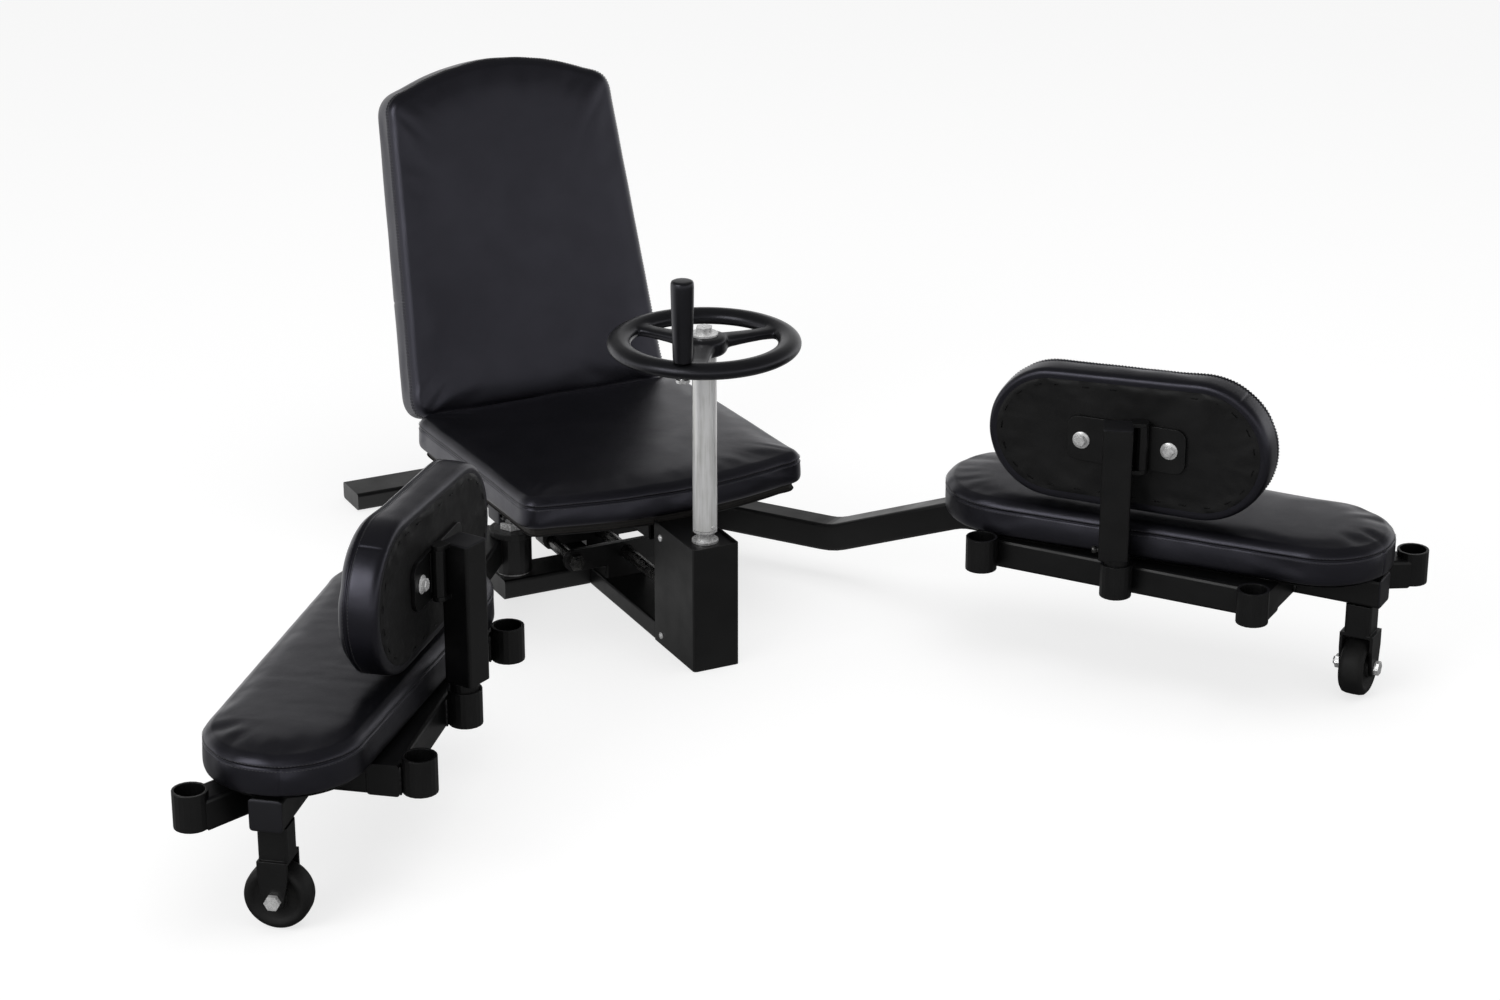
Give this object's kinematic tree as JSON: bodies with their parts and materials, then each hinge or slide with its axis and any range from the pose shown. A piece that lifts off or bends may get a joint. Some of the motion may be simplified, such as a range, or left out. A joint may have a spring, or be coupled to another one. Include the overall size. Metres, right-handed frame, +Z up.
{
  "type": "leg stretching machine",
  "caption": "Floor-standing leg stretcher: padded seat and reclined backrest on a tube base, with two hinged, padded leg arms on casters spread by a hand wheel.",
  "frame": {"origin": "on the floor under the spine, in the plane of symmetry of the base, 16 mm behind the leg pivots' line", "axes": "+Z up; -Y the way the machine's front looks; +X to the seated user's left"},
  "size_m": [1.6236, 1.2341, 0.6401],
  "materials": {
    "black_steel": "semi-gloss powder coat",
    "zinc": "bright zinc plate",
    "chrome": "polished, faint streaks",
    "black_plastic": "satin moulded",
    "vinyl": "satin upholstery vinyl",
    "plywood": "plain",
    "rubber": "matt"
  },
  "bodies": {
    "base": {"spine_tube": "black_steel", "middle_foot_left": "black_steel", "middle_foot_right": "black_steel", "rear_foot": "black_steel", "gearbox_cover": "black_steel", "gearbox_frame": "black_steel", "column_collar": "zinc", "guide_bracket_front": "black_steel", "guide_bracket_rear": "black_steel", "guide_rod_left": "zinc", "guide_rod_right": "zinc", "left_pivot_pin": "zinc", "right_pivot_pin": "zinc", "seat_frame": "black_steel", "seat_upright": "black_steel", "seat_board": "plywood", "seat_pad": "vinyl", "backrest_board": "plywood", "backrest_pad": "vinyl", "backrest_post": "black_steel"},
    "column": {"column_shaft": "zinc", "column_tube": "chrome", "column_bevel_gear": "zinc", "handwheel": "black_plastic", "hub_bolt": "zinc", "handle_spindle": "zinc"},
    "grip": {"handle_grip": "black_plastic"},
    "screw": {"lead_screw": "zinc", "screw_bevel_gear": "zinc"},
    "crosshead": {"crosshead": "black_steel"},
    "left_leg": {"left_leg_arm": "black_steel", "left_leg_lever": "black_steel", "left_socket_rail": "black_steel", "left_cross_tube_inner": "black_steel", "left_cross_tube_outer": "black_steel", "left_caster_fork": "black_steel", "left_axle_bolt": "zinc", "left_leg_board": "plywood", "left_leg_pad": "vinyl"},
    "left_wheel": {"left_caster_wheel": "rubber"},
    "left_post": {"left_side_post": "black_steel"},
    "left_side": {"left_side_plate": "black_steel", "left_side_board": "plywood", "left_side_pad": "vinyl"},
    "right_leg": {"right_leg_arm": "black_steel", "right_leg_lever": "black_steel", "right_socket_rail": "black_steel", "right_cross_tube_inner": "black_steel", "right_cross_tube_outer": "black_steel", "right_caster_fork": "black_steel", "right_axle_bolt": "zinc", "right_leg_board": "plywood", "right_leg_pad": "vinyl"},
    "right_wheel": {"right_caster_wheel": "rubber"},
    "right_post": {"right_side_post": "black_steel"},
    "right_side": {"right_side_plate": "black_steel", "right_side_board": "plywood", "right_side_pad": "vinyl"}
  },
  "joints": [
    {"name": "left_leg_swing", "type": "hinge", "parent": "base", "child": "left_leg", "pos_m": [0.131, -0.016, 0.06], "axis": [0, 0, 1], "range_deg": [-27, 52]},
    {"name": "right_leg_swing", "type": "hinge", "parent": "base", "child": "right_leg", "pos_m": [-0.131, -0.016, 0.06], "axis": [0, 0, -1], "range_deg": [-27, 52]},
    {"name": "crosshead_slide", "type": "slide", "parent": "base", "child": "crosshead", "axis": [0, -1, 0], "range_m": [-0.0311, 0.0598]},
    {"name": "screw_spin", "type": "hinge", "parent": "base", "child": "screw", "pos_m": [0, 0, 0.06], "axis": [0, 1, 0], "range_deg": [-1117, 2150]},
    {"name": "column_spin", "type": "hinge", "parent": "base", "child": "column", "pos_m": [0, -0.335, 0.3], "axis": [0, 0, -1], "range_deg": [-1117, 2150]},
    {"name": "grip_spin", "type": "hinge", "parent": "column", "child": "grip", "pos_m": [-0.06814, -0.4162, 0.49], "axis": [0, 0, 1], "continuous": true},
    {"name": "left_wheel_roll", "type": "hinge", "parent": "left_leg", "child": "left_wheel", "pos_m": [0.68708, -0.79044, 0.038], "axis": [0.5807, -0.8141, 0], "continuous": true},
    {"name": "left_post_turn", "type": "hinge", "parent": "left_leg", "child": "left_post", "pos_m": [0.41749, -0.64323, 0.16], "axis": [0, 0, 1], "range_deg": [-45, 45]},
    {"name": "left_side_pad_swivel", "type": "hinge", "parent": "left_post", "child": "left_side", "pos_m": [0.44496, -0.64679, 0.32], "axis": [0, 0, 1], "range_deg": [-20, 14]},
    {"name": "right_wheel_roll", "type": "hinge", "parent": "right_leg", "child": "right_wheel", "pos_m": [-0.72295, -0.76338, 0.038], "axis": [-0.6184, -0.7859, 0], "continuous": true},
    {"name": "right_post_turn", "type": "hinge", "parent": "right_leg", "child": "right_post", "pos_m": [-0.44671, -0.62904, 0.16], "axis": [0, 0, -1], "range_deg": [-45, 45]},
    {"name": "right_side_pad_swivel", "type": "hinge", "parent": "right_post", "child": "right_side", "pos_m": [-0.47432, -0.6313, 0.32], "axis": [0, 0, -1], "range_deg": [-20, 14]}
  ],
  "couplings": [
    {"joint": "right_leg_swing", "follows": "left_leg_swing", "ratio": 1},
    {"joint": "crosshead_slide", "follows": "left_leg_swing", "m_per_rad": 0.0658},
    {"joint": "screw_spin", "follows": "left_leg_swing", "ratio": 41.343},
    {"joint": "column_spin", "follows": "left_leg_swing", "ratio": 41.343}
  ]
}
